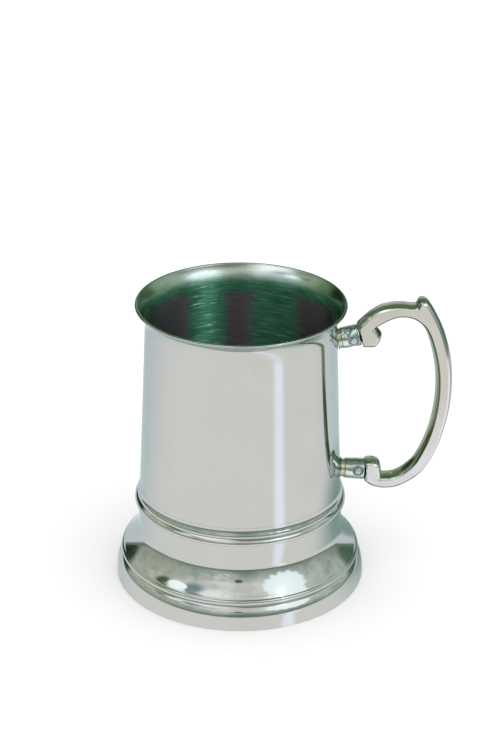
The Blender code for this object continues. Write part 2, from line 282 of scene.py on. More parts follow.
def waist_ring_profile():
    """A soft shoulder, a fine groove and a fuller bead below it."""
    inner = WAIST_RADIUS - JOGGLE + GAP
    bottom, top = WAIST_HEIGHT, RING_TOP
    meeting = JOGGLE_TOP - 0.03
    upper_leans = [(meeting, 3.0), (top - 0.1, 6.0), (top - 0.6, 12.0), (top - 1.2, 22.0), (top - 2.1, 29.0)]
    upper_leans += [(top - 2.6, 18.0), (top - 2.9, 8.0), (top - 3.3, -5.0), (top - 3.6, -30.0)]
    lower_leans = [(top - 3.85, 52.0), (top - 4.4, 44.0), (top - 5.0, 28.0), (top - 5.4, 16.0)]
    lower_leans += [(top - 5.9, 4.0), (top - 6.3, -10.0), (top - 6.6, -35.0)]
    upper = leaning_run((WAIST_RADIUS + 0.03, meeting), upper_leans, 4)
    lower = leaning_run((WAIST_RADIUS + 0.75, top - 3.85), lower_leans, 4)
    profile = [(inner, bottom), (WAIST_RADIUS + 1.0, bottom), (WAIST_RADIUS + 1.3, bottom + 0.2)]
    profile += lower[::-1] + upper[::-1]
    return profile + [(WAIST_RADIUS - 0.03, JOGGLE_TOP - 0.12), (inner, bottom + 6.1)]


def foot_shell_profile():
    top = foot_high.z / MM
    bottom = 0.0
    inside_band = BASE_RADIUS - 1.5
    bead = (BASE_RADIUS - 2.1 - FOOT_BEAD_RADIUS, 10.7 + LIFT)
    shoulder_leans = [(23.9, 0.0), (22.9, 12.0), (22.1, 20.0), (20.7, 27.0), (18.3, 31.3), (12.75, 43.0)]
    band_leans = [(9.3, 40.0), (7.7, 30.0), (6.6, 19.0), (5.3, 12.5), (2.9, 6.5), (1.1, 0.0), (0.5, -3.0)]
    profile = [(NECK_RADIUS, top)] + leaning_run((NECK_RADIUS, 23.9), shoulder_leans, 8)
    profile += arc(bead, FOOT_BEAD_RADIUS, 66.0, -72.0, 20)
    profile += leaning_run((48.96, 9.3), band_leans, 6)
    profile += arc((BASE_RADIUS - 0.4, bottom + 0.4), 0.38, -5.0, -90.0, 8)
    profile += [(BASE_RADIUS - 4.0 + 0.3, bottom), (BASE_RADIUS - 4.0, bottom + 0.3)]
    inside = [(BASE_RADIUS - 4.0, bottom + SHEET), (inside_band, bottom + SHEET), (inside_band, 3.9)]
    inside += [(47.9, 10.0), (45.2, 15.5), (42.8, 18.9), (NECK_RADIUS - SHEET, 22.3)]
    return profile + inside + [(NECK_RADIUS - SHEET, top)]


def base_plate_profile():
    radius = (plate_high.x - plate_low.x) / 2 / MM
    under = plate_low.z / MM
    groove = [(radius - 9.0 - 3.0 * i / 12, 0.3 - 0.3 * math.cos(2 * math.pi * i / 12)) for i in range(13)]
    below = [(r, under + h) for r, h in groove]
    above = [(r, under + SHEET + h) for r, h in groove]
    profile = [(0.0, under)] + below[::-1] + [(radius - 0.3, under), (radius, under + 0.3)]
    return profile + [(radius, under + SHEET)] + above + [(0.0, under + SHEET)]


# The handle

def seam_point(socket, share):
    x, z = socket["seam"]
    offset = share * socket["half_height"]
    return (x - offset * math.sin(socket["face_tilt"]), z + offset * math.cos(socket["face_tilt"]))


def handle_outline():
    """The handle's middle outline, as (x, z, crown), where crown is how far it stands out from the sides."""
    upper, lower = SOCKETS["upper"], SOCKETS["lower"]
    thumb_root = (69.3, 119.6, 0.4)
    lower_notch = (58.0, 43.6, 0.4)
    scroll_notch = (53.3, 110.0, 0.4)
    arch = [(*seam_point(upper, 1.0), 0.4), (51.6, 116.2, 0.5), (56.4, 118.9, 0.5), (62.5, 119.9, 0.5)]
    arch += [(67.0, 119.5, 0.4), thumb_root]
    grip_outside = [thumb_root, (70.3, 121.5, 0.5), (71.8, 122.3, 0.7), (74.3, 120.9, 0.8)]
    grip_outside += [(77.8, 115.2, 1.0), (81.4, 107.2, 1.3), (84.1, 97.0, 1.6), (85.2, 85.5, 1.6)]
    grip_outside += [(84.4, 72.0, 1.6), (80.7, 57.0, 1.4), (74.6, 45.7, 1.1), (66.1, 39.6, 0.8)]
    grip_outside += [(59.7, 38.3, 0.6), (54.4, 39.3, 0.5), (*seam_point(lower, -1.0), 0.4)]
    lower_block = [(*seam_point(lower, 1.0), 0.4), (54.4, 50.6, 0.6), (57.3, 49.0, 0.7), lower_notch]
    grip_inside = [lower_notch, (62.8, 44.1, 0.5), (67.1, 47.0, 0.8), (71.7, 53.0, 1.1)]
    grip_inside += [(76.4, 65.9, 1.5), (78.4, 81.0, 1.6), (77.4, 95.0, 1.6), (73.6, 108.2, 1.3)]
    grip_inside += [(68.7, 113.6, 0.9), (62.7, 114.7, 0.5), (57.5, 112.7, 0.4), scroll_notch]
    scroll = [scroll_notch, (56.1, 106.7, 1.7), (54.2, 101.9, 1.2), (*seam_point(upper, -1.0), 0.4)]
    outline = smooth_run(arch, 10) + smooth_run(grip_outside, 12) + [grip_outside[-1]]
    outline += smooth_run(lower_block, 10) + smooth_run(grip_inside, 12)
    return outline + smooth_run(scroll, 12) + [scroll[-1]]


def section(crown, edge_radius, crown_steps=10, corner_steps=8):
    """Half of the handle's section, from its middle to its flat side, as (y, inset)."""
    half = HANDLE_THICKNESS / 2
    shoulder = 1.0 - edge_radius / half
    points = []
    for i in range(crown_steps + 1):
        share = shoulder * i / crown_steps
        points.append((share * half, crown * share**2))
    for i in range(1, corner_steps + 1):
        angle = math.radians(90.0 * i / corner_steps)
        inset = crown * shoulder**2 + edge_radius * (1 - math.cos(angle) ** BEVEL_FLATNESS)
        points.append((shoulder * half + edge_radius * math.sin(angle) ** BEVEL_FLATNESS, inset))
    return points


def trimmed(outline, corners, clearance):
    """The outline without the points that lie too close to a sharp corner to be moved inwards."""
    kept = []
    for point in outline:
        distances = [math.dist(point[:2], corner) for corner in corners]
        if all(distance < 0.001 or distance > clearance for distance in distances):
            kept.append(point)
    return kept


def inward_steps(outline):
    """For each point, the step that moves both of its edges inwards by 1."""
    edge_normals = []
    for (x0, z0, _), (x1, z1, _) in zip(outline, outline[1:] + outline[:1]):
        length = math.hypot(x1 - x0, z1 - z0)
        edge_normals.append(((z0 - z1) / length, (x1 - x0) / length))
    steps = []
    for (ax, az), (bx, bz) in zip(edge_normals[-1:] + edge_normals[:-1], edge_normals):
        share = 1 + ax * bx + az * bz
        steps.append((-(ax + bx) / max(share, 0.7), -(az + bz) / max(share, 0.7)))
    return steps


def handle_bmesh():
    """The outline swept across the thickness: crowned faces, rounded edges and flat sides."""
    corners = [seam_point(socket, share) for socket in SOCKETS.values() for share in (-1.0, 1.0)]
    outline = trimmed(handle_outline(), corners, 1.1)
    inward = inward_steps(outline)
    bm = bmesh.new()
    half_sections = [section(crown, HANDLE_EDGE_RADIUS) for _, _, crown in outline]
    steps = len(half_sections[0]) - 1
    rings = []
    for k in range(-steps, steps + 1):
        ring = []
        for (x, z, _), (step_x, step_z), half_section in zip(outline, inward, half_sections):
            y, inset = half_section[abs(k)]
            inset += HANDLE_INSET
            y = math.copysign(y, k)
            ring.append(bm.verts.new(((x + step_x * inset) * MM, y * MM, (z + step_z * inset + LIFT) * MM)))
        rings.append(ring)
    join_rings(bm, rings)
    bm.faces.new(rings[0])
    bm.faces.new(rings[-1])
    return bm


# The sockets

def socket_place(socket):
    x, z = socket["seam"]
    place = Matrix.Translation(AXIS + Vector((x * MM, 0.0, (z + LIFT) * MM)))
    return place @ Matrix.Rotation(math.pi / 2 - socket["tilt"], 4, "Y")


def rivet_place(socket):
    place = socket_place(socket) @ Matrix.Translation((0.0, 0.0, -socket["rivet_at"] * MM))
    return place @ Matrix.Rotation(socket["rivet_turn"], 4, "Z") @ Matrix.Rotation(math.pi / 2, 4, "X")


def socket_reach(socket):
    x, z = socket["seam"]
    reach = 0.0
    for _ in range(4):
        wall_z = z + LIFT - reach * math.sin(socket["tilt"])
        reach = (x - wall_radius(wall_z)) / math.cos(socket["tilt"])
    return reach


def dent_depth(socket, along, angle):
    """How far the sleeve's skin is pressed in, from a few soft hammer marks."""
    marks = ((-1.3, 250.0, 0.32), (-4.3, 300.0, 0.26), (-4.9, 235.0, 0.22), (-3.2, 330.0, 0.24))
    marks += ((-1.2, 315.0, 0.20), (-4.6, 190.0, 0.22), (-2.0, 20.0, 0.24), (-4.0, 90.0, 0.25))
    depth = 0.0
    for mark_along, mark_angle, mark_depth in marks:
        turn = (math.degrees(angle) - mark_angle + 180.0) % 360.0 - 180.0
        distance = ((along - mark_along) / 0.9) ** 2 + (turn / 20.0) ** 2
        depth += mark_depth * math.exp(-distance)
    return depth * socket["dents"]


def sunk_under_rivet(socket, point, across):
    """The point, pressed back to the flat spot face if it lies under a rivet head."""
    out = point.dot(across)
    to_rivet = Vector((point.x, point.y, point.z + socket["rivet_at"])) - across * out
    blend = 1.0 - min(1.0, max(0.0, (to_rivet.length - SPOT_FACE_RADIUS + 0.25) / 0.3))
    sunk = abs(out) - SPOT_FACE_OFFSET
    if abs(out) > 1.0 and sunk > 0.0 and blend > 0.0:
        return point - across * math.copysign(sunk * blend * blend * (3 - 2 * blend), out)
    return point


def make_sleeve(name, socket, surface):
    """A tube with soft dents, and a round spot face sunk into it under each rivet head."""
    start, end = -socket["length"], SLEEVE_END
    small, large = socket["radii"]
    segments, rows = 160, 64
    across = Matrix.Rotation(socket["rivet_turn"], 3, "Z") @ Vector((0.0, 1.0, 0.0))
    bm = bmesh.new()
    rings = []
    for row in range(rows + 1):
        share = row / rows
        along = start + (end - start) * share
        rounding = 0.16 * max(0.0, 1.0 - min(along - start, end - along) / 0.25) ** 2
        ring = []
        for i in range(segments):
            angle = 2 * math.pi * i / segments
            r = small + (large - small) * share - rounding - dent_depth(socket, along, angle)
            point = Vector((r * math.cos(angle), r * math.sin(angle), along))
            ring.append(bm.verts.new(sunk_under_rivet(socket, point, across) * MM))
        rings.append(ring)
    rings += [level_ring(bm, SLEEVE_BORE, z, segments) for z in (end, start)]
    join_rings(bm, rings + rings[:1])
    place = socket_place(socket)
    finish_piece(name + "_sleeve_dented", bm, place, surface, [name + "_sleeve"])


def make_stud(name, socket, surface):
    """A neck that flares into the cup's wall, a fillet of braze flush with the sleeve, and the spigot."""
    wall, neck = -socket_reach(socket), socket["neck_radius"]
    sleeve_start, flush = -socket["length"], socket["radii"][0] - 0.14
    flare = socket["flare"]
    profile = [(0.0, wall - WALL_BITE), (neck + flare, wall - WALL_BITE)]
    profile += arc((neck + flare, wall + 0.2 + flare), flare, -90.0, -180.0, 14)
    profile += smooth_run([
        (neck + 0.02, sleeve_start - 0.75),
        (neck + 0.10, sleeve_start - 0.50),
        (flush - 0.05, sleeve_start - 0.28),
        (flush, sleeve_start - 0.04),
    ], 5)
    profile += [(flush - 0.1, sleeve_start - 0.02), (SPIGOT_RADIUS, sleeve_start - 0.02)]
    profile += [(SPIGOT_RADIUS, sleeve_start + SPIGOT_REACH), (0.0, sleeve_start + SPIGOT_REACH)]
    bm, place = turned(profile, 96), socket_place(socket)
    finish_piece(name + "_stud_neck", bm, place, surface, [name + "_stud"])


def make_tang(name, socket, surface):
    """The handle's own pin inside the sleeve, with a scorched shoulder that shows only in the seam."""
    end, shoulder = -socket["length"] + SPIGOT_REACH + GAP, socket["radii"][1] - 0.3
    profile = [(0.0, end), (TANG_RADIUS - 0.3, end), (TANG_RADIUS, end + 0.3), (TANG_RADIUS, -0.10)]
    profile += [(shoulder, -0.10), (shoulder, 0.05), (TANG_RADIUS, 0.1), (TANG_RADIUS, 0.6), (0.0, 0.6)]
    finish_piece(name + "_tang", turned(profile, 96), socket_place(socket), surface, [])


def make_rivet(name, socket, surface):
    """Two domed heads with a struck dimple, on one shank."""
    under, crown = SPOT_FACE_OFFSET + 0.02, RIVET_HEAD_HEIGHT + 0.12
    head = [(1.0, under), (RIVET_HEAD_RADIUS - 0.06, under), (RIVET_HEAD_RADIUS, under + 0.08)]
    for i in range(1, 15):
        angle = math.radians(90.0 * i / 14)
        r = DIMPLE_RADIUS + (RIVET_HEAD_RADIUS - DIMPLE_RADIUS) * math.cos(angle) ** 0.8
        head.append((r, under + 0.1 + crown * math.sin(angle)))
    top = under + 0.1 + crown
    head += [(0.36, top - 0.04), (0.24, top - 0.14), (0.12, top - 0.19), (0.0, top - 0.2)]
    profile = [(r, -y) for r, y in reversed(head)] + head
    bm, place = turned(profile, 48), rivet_place(socket)
    finish_piece(name + "_rivet_heads", bm, place, surface, [name + "_rivet"])


# Node helpers

class Nodes:
    """Short calls for building one node tree. A value is a number or another node's socket."""

    def __init__(self, tree):
        self.tree = tree

    def add(self, kind, **settings):
        node = self.tree.nodes.new(kind)
        for key, value in settings.items():
            setattr(node, key, value)
        return node

    def put(self, socket, value):
        if isinstance(value, bpy.types.NodeSocket):
            self.tree.links.new(value, socket)
        else:
            socket.default_value = value

    def maths(self, operation, *values):
        node = self.add("ShaderNodeMath", operation=operation)
        for socket, value in zip(node.inputs, values):
            self.put(socket, value)
        return node.outputs[0]

    def plus(self, first, second):
        return self.maths("ADD", first, second)

    def minus(self, first, second):
        return self.maths("SUBTRACT", first, second)

    def times(self, first, second):
        return self.maths("MULTIPLY", first, second)

    def over(self, first, second):
        return self.maths("DIVIDE", first, second)

    def larger(self, first, second):
        return self.maths("MAXIMUM", first, second)

    def size(self, value):
        return self.maths("ABSOLUTE", value)

    def length(self, across, up):
        return self.maths("SQRT", self.plus(self.times(across, across), self.times(up, up)))

    def bearing(self, x, y):
        """Degrees round the upright axis, from the front towards the handle."""
        return self.maths("DEGREES", self.maths("ARCTAN2", x, self.times(y, -1.0)))

    def vector(self, x, y, z):
        node = self.add("ShaderNodeCombineXYZ")
        for socket, value in zip(node.inputs, (x, y, z)):
            self.put(socket, value)
        return node.outputs[0]

    def split(self, vector):
        node = self.add("ShaderNodeSeparateXYZ")
        self.put(node.inputs[0], vector)
        return node.outputs

    def noise(self, vector, scale, detail=3.0, roughness=0.5):
        node = self.add("ShaderNodeTexNoise")
        self.put(node.inputs["Vector"], vector)
        node.inputs["Scale"].default_value = scale
        node.inputs["Detail"].default_value = detail
        node.inputs["Roughness"].default_value = roughness
        return node.outputs["Fac"]

    def spread(self, value, low, high, to_low, to_high, smooth=True):
        node = self.add("ShaderNodeMapRange", interpolation_type="SMOOTHSTEP" if smooth else "LINEAR")
        self.put(node.inputs["Value"], value)
        for name, number in (("From Min", low), ("From Max", high), ("To Min", to_low), ("To Max", to_high)):
            node.inputs[name].default_value = number
        return node.outputs["Result"]

    def rising(self, value, low, high, top=1.0):
        """0 up to low, and the top from high on."""
        return self.spread(value, low, high, 0.0, top)

    def falling(self, value, low, high):
        """1 up to low, and 0 from high on."""
        return self.spread(value, low, high, 1.0, 0.0)

    def band(self, value, low, full_from, full_to, high):
        """1 between the two inner values, and 0 outside the two outer ones."""
        return self.times(self.rising(value, low, full_from), self.falling(value, full_to, high))

    def ramp(self, value, stops):
        node = self.add("ShaderNodeValToRGB")
        self.put(node.inputs["Fac"], value)
        elements = node.color_ramp.elements
        elements[0].position, elements[0].color = stops[0][0], (*stops[0][1], 1.0)
        elements[1].position, elements[1].color = stops[-1][0], (*stops[-1][1], 1.0)
        for position, colour in stops[1:-1]:
            elements.new(position).color = (*colour, 1.0)
        return node.outputs["Color"]

    def blend(self, share, first, second):
        """The first colour at a share of 0, and the second at 1. Each is a colour or a socket."""
        node = self.add("ShaderNodeMix", data_type="RGBA")
        self.put(node.inputs[0], share)
        for socket, value in ((node.inputs[6], first), (node.inputs[7], second)):
            self.put(socket, value if isinstance(value, bpy.types.NodeSocket) else (*value, 1.0))
        return node.outputs[2]


def new_metal(name):
    """A metallic material, its nodes, its shader and the piece's own coordinates."""
    made = bpy.data.materials.new(name)
    made.use_nodes = True
    nodes = Nodes(made.node_tree)
    shader = made.node_tree.nodes["Principled BSDF"]
    shader.inputs["Metallic"].default_value = 1.0
    shader.inputs["Specular Tint"].default_value = EDGE_TINT
    coordinates = nodes.add("ShaderNodeTexCoord").outputs["Object"]
    return made, nodes, shader, coordinates


def finish_metal(nodes, shader, colour, roughness, height, strength, distance):
    """Puts the colour, the roughness and a bump of this strength and distance on the shader."""
    nodes.put(shader.inputs["Base Color"], colour)
    nodes.put(shader.inputs["Roughness"], roughness)
    node = nodes.add("ShaderNodeBump")
    node.inputs["Strength"].default_value = strength
    node.inputs["Distance"].default_value = distance
    nodes.put(node.inputs["Height"], height)
    nodes.put(shader.inputs["Normal"], node.outputs["Normal"])


def grain_round(nodes, shader):
    """Turns the shader's anisotropy to run round the upright axis."""
    tangent = nodes.add("ShaderNodeTangent", direction_type="RADIAL", axis="Z")
    nodes.put(shader.inputs["Tangent"], tangent.outputs[0])


def lines_round(nodes, coordinates, fineness, raggedness):
    """Noise drawn out into fine lines that run round a turned piece."""
    x, y, z = nodes.split(coordinates)
    angle = nodes.maths("ARCTAN2", y, x)
    turn_x = nodes.times(nodes.maths("COSINE", angle), raggedness)
    turn_y = nodes.times(nodes.maths("SINE", angle), raggedness)
    along = nodes.times(nodes.plus(z, nodes.times(nodes.length(x, y), 0.7)), fineness)
    return nodes.noise(nodes.vector(turn_x, turn_y, along), 1.0, 4.0, 0.6)


def two_tones(nodes, noise, low, high, first, second):
    """The first colour where the noise is under low, and the second where it is over high."""
    return nodes.blend(nodes.rising(noise, low, high), first, second)


# Metals: polished steel

EDGE_TINT = (0.70, 0.78, 0.78, 1.0)
BRIGHT_STEEL = (0.605, 0.605, 0.59)
HAZE_DARKENING = 0.965
POLISH_ROUGHNESS = 0.045
POLISH_LINES = 2600.0
POLISH_BUMP = (0.06, 0.0008)


def polish(nodes, coordinates):
    """The haze and the fine lines of polished steel, and its tint and the height of its bumps."""
    haze = nodes.noise(coordinates, 38.0, 4.0, 0.6)
    lines = lines_round(nodes, coordinates, POLISH_LINES, 1.5)
    hazy_steel = [c * HAZE_DARKENING for c in BRIGHT_STEEL]
    tint = two_tones(nodes, haze, 0.35, 0.7, BRIGHT_STEEL, hazy_steel)
    wave = nodes.noise(coordinates, 30.0, 1.0, 0.4)
    return haze, lines, tint, nodes.plus(wave, nodes.times(lines, 0.010))


def polished_steel(name):
    """Mirror-polished steel: a faint haze, smears, fine polishing lines and a slow waviness."""
    made, nodes, shader, coordinates = new_metal(name)
    haze, lines, tint, height = polish(nodes, coordinates)
    smear = nodes.noise(coordinates, 170.0, 3.0, 0.55)
    roughness = nodes.spread(haze, 0.3, 0.75, POLISH_ROUGHNESS, POLISH_ROUGHNESS + 0.05)
    roughness = nodes.plus(roughness, nodes.rising(smear, 0.5, 0.75, 0.025))
    roughness = nodes.plus(roughness, nodes.rising(lines, 0.45, 0.7, 0.02))
    finish_metal(nodes, shader, tint, roughness, height, *POLISH_BUMP)
    return made


# Metals: the cup. Depths are millimetres under the rim, and bearings are degrees round the cup

BRUSHED_DEPTHS = (7.0, 1.8)  # the brushing fades out between these
PAINTED_REFLECTION_TOP_DEPTHS = (14.0, 9.5)  # the inside gets a painted green reflection above these
LEFT_REFLECTION_STRIP, RIGHT_REFLECTION_STRIP = -23.0, 22.0  # where two painted green reflection strips run down the inside, at the back
HAZE_STRENGTH = 0.15


def under_rim(millimetres):
    """The height of a point this far under the rim, in metres."""
    return (RIM_HEIGHT - millimetres) * MM


def cup_zones(nodes, z, radius, angle):
    """1 on the inner side of the sheet, and 1 on the part of that side that is brushed."""
    below_lip = nodes.larger(nodes.minus(LIP_Z * MM, z), 0.0)
    above_lip = nodes.larger(nodes.minus(z, LIP_Z * MM), 0.0)
    untapered = nodes.minus(radius, nodes.times(below_lip, math.tan(WALL_TAPER)))
    from_centre = nodes.minus((wall_radius(LIP_Z) + LIP_ARC_RADIUS) * MM, untapered)
    is_inside = nodes.maths("GREATER_THAN", nodes.length(from_centre, above_lip), LIP_MIDDLE * MM)
    edge_wobble = nodes.times(nodes.noise(nodes.vector(angle, 0.0, 0.0), 5.0, 2.0), 0.0012)
    below_flare = nodes.falling(nodes.plus(z, edge_wobble), *map(under_rim, BRUSHED_DEPTHS))
    return is_inside, nodes.times(is_inside, below_flare)


def brush_strokes(nodes, z, angle):
    """The scratches round the inside, fine and coarse, which tilt a little."""
    tilt = nodes.times(nodes.maths("SINE", nodes.times(angle, 2.0)), 0.0006)
    turn_x = nodes.times(nodes.maths("COSINE", angle), 5.0)
    turn_y = nodes.times(nodes.maths("SINE", angle), 5.0)
    along = nodes.times(nodes.plus(z, tilt), 1500.0)
    fine = nodes.noise(nodes.vector(turn_x, turn_y, along), 1.0, 5.0, 0.65)
    coarse = nodes.noise(nodes.vector(turn_x, turn_y, nodes.times(along, 0.35)), 1.6, 3.0, 0.6)
    return fine, coarse


def brushed_painted_reflections(nodes, across, z, strokes):
    """Painted reflections: green at the top and in two strips, grey-purple elsewhere, with painted glints on
    scratches in the left strip.
    """
    # painted reflections: two green strips down the back of the inside and a green band at the top
    left_green_reflection = nodes.falling(nodes.size(nodes.minus(across, LEFT_REFLECTION_STRIP)), 9.0, 18.0)
    right_green_reflection = nodes.falling(nodes.size(nodes.minus(across, RIGHT_REFLECTION_STRIP)), 11.0, 21.0)
    lowered = nodes.minus(z, nodes.times(nodes.size(across), 0.05 * MM))
    near_top = nodes.rising(lowered, *map(under_rim, PAINTED_REFLECTION_TOP_DEPTHS))
    green_reflection_share = nodes.larger(nodes.larger(left_green_reflection, right_green_reflection), near_top)
    green = two_tones(nodes, strokes, 0.35, 0.6, (0.06, 0.24, 0.14), (0.12, 0.37, 0.24))
    # painted glints on the scratches, strongest in the left strip
    painted_glint_strength = nodes.spread(nodes.size(nodes.minus(across, LEFT_REFLECTION_STRIP - 1.0)), 5.0, 11.0, 1.0, 0.35)
    scratches = nodes.times(nodes.rising(strokes, 0.56, 0.72), painted_glint_strength)
    green = nodes.blend(scratches, green, (0.85, 1.0, 0.95))
    grey = two_tones(nodes, strokes, 0.35, 0.7, (0.22, 0.175, 0.215), (0.28, 0.24, 0.28))
    return nodes.blend(green_reflection_share, grey, green)


def flare_painted_reflections(nodes, across):
    """The polished inner face of the lip, in painted reflections: greener at its sides and darker at the far
    right, with two painted highlights at the back.
    """
    back, sides, far_right = (0.45, 0.50, 0.44), (0.29, 0.39, 0.27), (0.14, 0.23, 0.14)
    # painted reflections: greener towards the sides, darker green at the far right
    tint = nodes.blend(nodes.rising(nodes.size(across), 30.0, 70.0), back, sides)
    tint = nodes.blend(nodes.rising(across, 46.0, 64.0), tint, far_right)
    # painted highlights: two bright parts at the back
    painted_highlight_right = nodes.band(across, 2.0, 14.0, 30.0, 46.0)
    painted_highlight_left = nodes.times(nodes.band(across, -40.0, -30.0, -20.0, -8.0), 0.5)
    return nodes.blend(nodes.larger(painted_highlight_right, painted_highlight_left), tint, (0.74, 0.79, 0.80))


def haze_under_lip(nodes, x, y, z, is_inside):
    """Extra roughness outside, under the lip at the front right."""
    patch = nodes.band(nodes.bearing(x, y), 0.0, 8.0, 33.0, 42.0)
    patch = nodes.times(patch, nodes.rising(z, under_rim(11.5), under_rim(8.5), HAZE_STRENGTH))
    patch = nodes.times(patch, nodes.falling(z, under_rim(6.0), under_rim(4.0)))
    return nodes.times(patch, nodes.minus(1.0, is_inside))


def cup_steel():
    """Polished outside and round the lip, brushed round the inside."""
    made, nodes, shader, coordinates = new_metal("cup_steel_polished_and_brushed")
    x, y, z = nodes.split(coordinates)
    angle = nodes.maths("ARCTAN2", y, x)
    is_inside, brushed = cup_zones(nodes, z, nodes.length(x, y), angle)
    polished = nodes.minus(1.0, brushed)
    strokes, coarse = brush_strokes(nodes, z, angle)
    haze, lines, outside_colour, polished_height = polish(nodes, coordinates)

    wander = nodes.times(nodes.minus(coarse, 0.5), 10.0)
    across = nodes.plus(nodes.maths("DEGREES", nodes.maths("ARCTAN2", x, y)), wander)
    # the lip's inner face takes its painted reflections and highlights
    polished_colour = nodes.blend(is_inside, outside_colour, flare_painted_reflections(nodes, across))
    # the brushed inside takes its painted reflections and glints
    colour = nodes.blend(brushed, polished_colour, brushed_painted_reflections(nodes, across, z, strokes))

    smooth = nodes.spread(haze, 0.3, 0.75, POLISH_ROUGHNESS, POLISH_ROUGHNESS + 0.04)
    smooth = nodes.plus(smooth, nodes.rising(lines, 0.45, 0.7, 0.02))
    rough = nodes.spread(strokes, 0.3, 0.75, 0.40, 0.62)
    roughness = nodes.plus(nodes.times(rough, brushed), nodes.times(smooth, polished))
    roughness = nodes.plus(roughness, haze_under_lip(nodes, x, y, z, is_inside))
    roughness = nodes.plus(roughness, nodes.times(nodes.times(is_inside, polished), 0.13))

    brushed_height = nodes.plus(nodes.times(strokes, 0.9), nodes.times(coarse, 0.5))
    height = nodes.plus(nodes.times(polished_height, polished), nodes.times(brushed_height, brushed))
    finish_metal(nodes, shader, colour, roughness, height, *POLISH_BUMP)
    nodes.put(shader.inputs["Anisotropic"], nodes.times(brushed, 0.95))
    shader.inputs["Anisotropic Rotation"].default_value = 0.25
    grain_round(nodes, shader)
    return made


def satin_steel(name, colour, fineness):
    """Satin steel with turned rings, for the faces that lie flat."""
    made, nodes, shader, coordinates = new_metal(name)
    lines = lines_round(nodes, coordinates, fineness, 1.2)
    stain = nodes.noise(coordinates, 55.0, 4.0, 0.6)
    tint = two_tones(nodes, stain, 0.35, 0.7, colour, [c * 0.85 for c in colour])
    finish_metal(nodes, shader, tint, nodes.spread(lines, 0.35, 0.7, 0.22, 0.42), lines, 0.15, 0.0004)
    shader.inputs["Anisotropic"].default_value = 0.5
    grain_round(nodes, shader)
    return made


# Metals: the handle. Places are points of its outline, in millimetres

DROSS_PLACES = (((56.0, 50.0), 7.0), ((50.0, 112.5), 6.5), ((61.0, 44.5), 6.5))
DROSS_COLOURS = [
    (0.36, (0.10, 0.15, 0.07)),
    (0.50, (0.42, 0.46, 0.30)),
    (0.60, (0.66, 0.70, 0.58)),
    (0.68, (0.95, 0.97, 0.85)),
]
SCROLL_RECESS = ((57.0, 109.5), 4.5)
# painted dark reflection on the bevels that face the cup and the floor
PAINTED_DARK_REFLECTION = (0.12, 0.17, 0.07)
# painted highlight: the other bevels lightened to strengthen their bright edge lines
PAINTED_BEVEL_HIGHLIGHT = (0.90, 0.91, 0.87)
# darker near the scroll's recess
SCROLL_RECESS_DARKENING = (0.15, 0.17, 0.11)


def near_point(nodes, x, z, centre, reach):
    """1 near a point of the handle's outline, falling to 0 at the reach."""
    distance = nodes.length(nodes.minus(x, centre[0] * MM), nodes.minus(z, centre[1] * MM))
    return nodes.falling(distance, 0.5 * reach * MM, reach * MM)


def bevel_zones(nodes, x, y, facing):
    """1 on the bevels that get a painted dark reflection, and 1 on the ones that get a painted highlight."""
    facing_x, facing_y, facing_z = facing
    across = nodes.over(nodes.size(y), HANDLE_THICKNESS * MM / 2)
    on_edge = nodes.falling(nodes.size(facing_y), 0.90, 0.98)
    bevel = nodes.times(nodes.rising(across, 0.80, 0.88), on_edge)
    faces_cup = nodes.times(nodes.falling(facing_x, -0.50, -0.30), nodes.rising(x, 0.060, 0.066))
    faces_down = nodes.falling(facing_z, -0.50, -0.35)
    # painted dark reflections: the bevels that face the cup and those that face down
    painted_dark_bevel = nodes.times(bevel, nodes.larger(faces_cup, faces_down))
    return painted_dark_bevel, nodes.minus(bevel, painted_dark_bevel)


def cast_tint(nodes, haze, facing, painted_dark_bevel, painted_bright_bevel):
    """Warm grey, with painted reflections greening the faces that look in and out, painted highlights on
    some bevels and painted dark reflections on others.
    """
    tint = two_tones(nodes, haze, 0.3, 0.7, (0.63, 0.615, 0.58), (0.60, 0.57, 0.53))
    # painted reflections: olive on the faces that look in towards the cup, grey-green on those that look out
    tint = nodes.blend(nodes.falling(facing[0], -0.8, -0.5), tint, (0.42, 0.46, 0.32))
    tint = nodes.blend(nodes.rising(facing[0], 0.4, 0.8), tint, (0.50, 0.51, 0.44))
    # painted highlight on the other bevels
    tint = nodes.blend(nodes.times(painted_bright_bevel, 0.8), tint, PAINTED_BEVEL_HIGHLIGHT)
    # painted dark reflection on those bevels
    return nodes.blend(nodes.times(painted_dark_bevel, 0.85), tint, PAINTED_DARK_REFLECTION)


